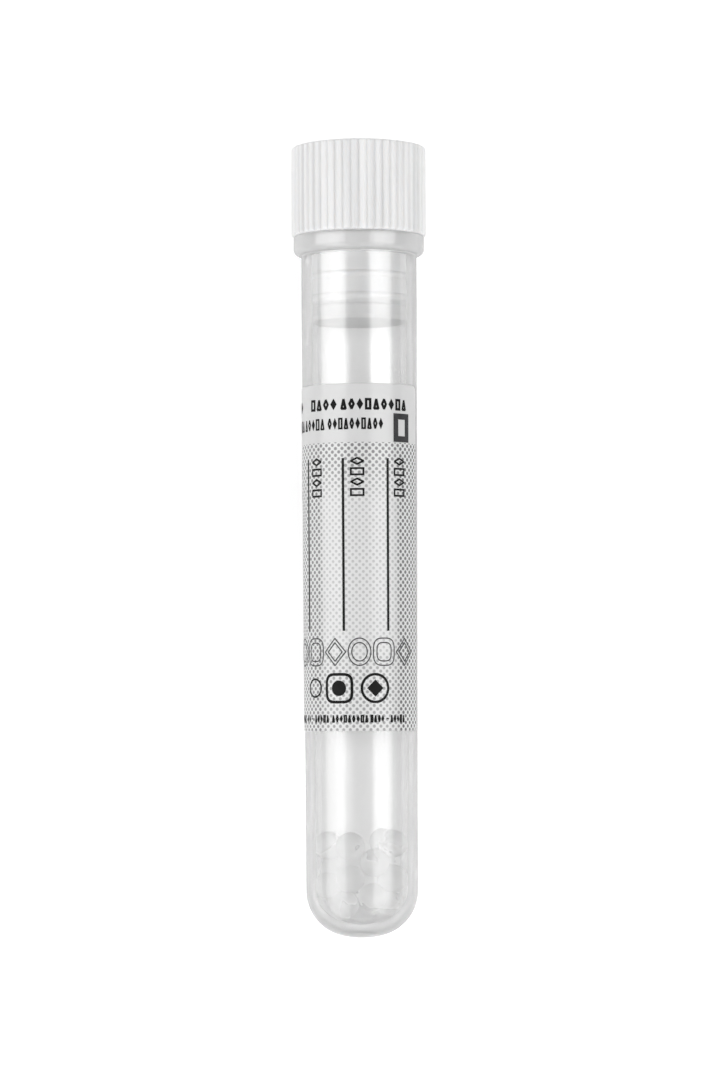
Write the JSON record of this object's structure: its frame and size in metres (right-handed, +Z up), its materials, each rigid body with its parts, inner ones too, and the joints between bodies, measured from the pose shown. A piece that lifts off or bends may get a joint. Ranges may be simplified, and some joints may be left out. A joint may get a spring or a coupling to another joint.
{
  "type": "blood collection tube",
  "caption": "Round-ended translucent plastic sample tube with a ribbed push-in stopper cap, a printed wrap-around film label and loose clotting beads inside.",
  "frame": {"origin": "middle of the bounding box, on the surface that the tube lies on", "axes": "the tube lies along Y with its cap towards +Y; +Z is up, through the middle of the label; +X is to the right of the label as it is seen with the cap at the top"},
  "size_m": [0.0194, 0.113, 0.0195],
  "materials": {
    "tube": "milky translucent polypropylene, smooth and glossy",
    "cap": "white moulded polyethylene, satin",
    "label": "matte white film with dark grey print",
    "bead": "clear to whitish polystyrene bead, glossy"
  },
  "bodies": {
    "tube": {"tube": "tube", "label": "label", "bead_01": "bead", "bead_02": "bead", "bead_03": "bead", "bead_04": "bead", "bead_05": "bead", "bead_06": "bead", "bead_07": "bead", "bead_08": "bead", "bead_09": "bead", "bead_10": "bead", "bead_11": "bead", "bead_12": "bead", "bead_13": "bead", "bead_14": "bead", "bead_15": "bead", "bead_16": "bead", "bead_17": "bead", "bead_18": "bead", "bead_19": "bead", "bead_20": "bead", "bead_21": "bead", "bead_22": "bead"},
    "cap": {"cap": "cap"}
  },
  "joints": [
    {"name": "cap_pull", "type": "slide", "parent": "tube", "child": "cap", "axis": [0, 0.9998, 0.0182], "range_m": [0, 0.03]}
  ]
}
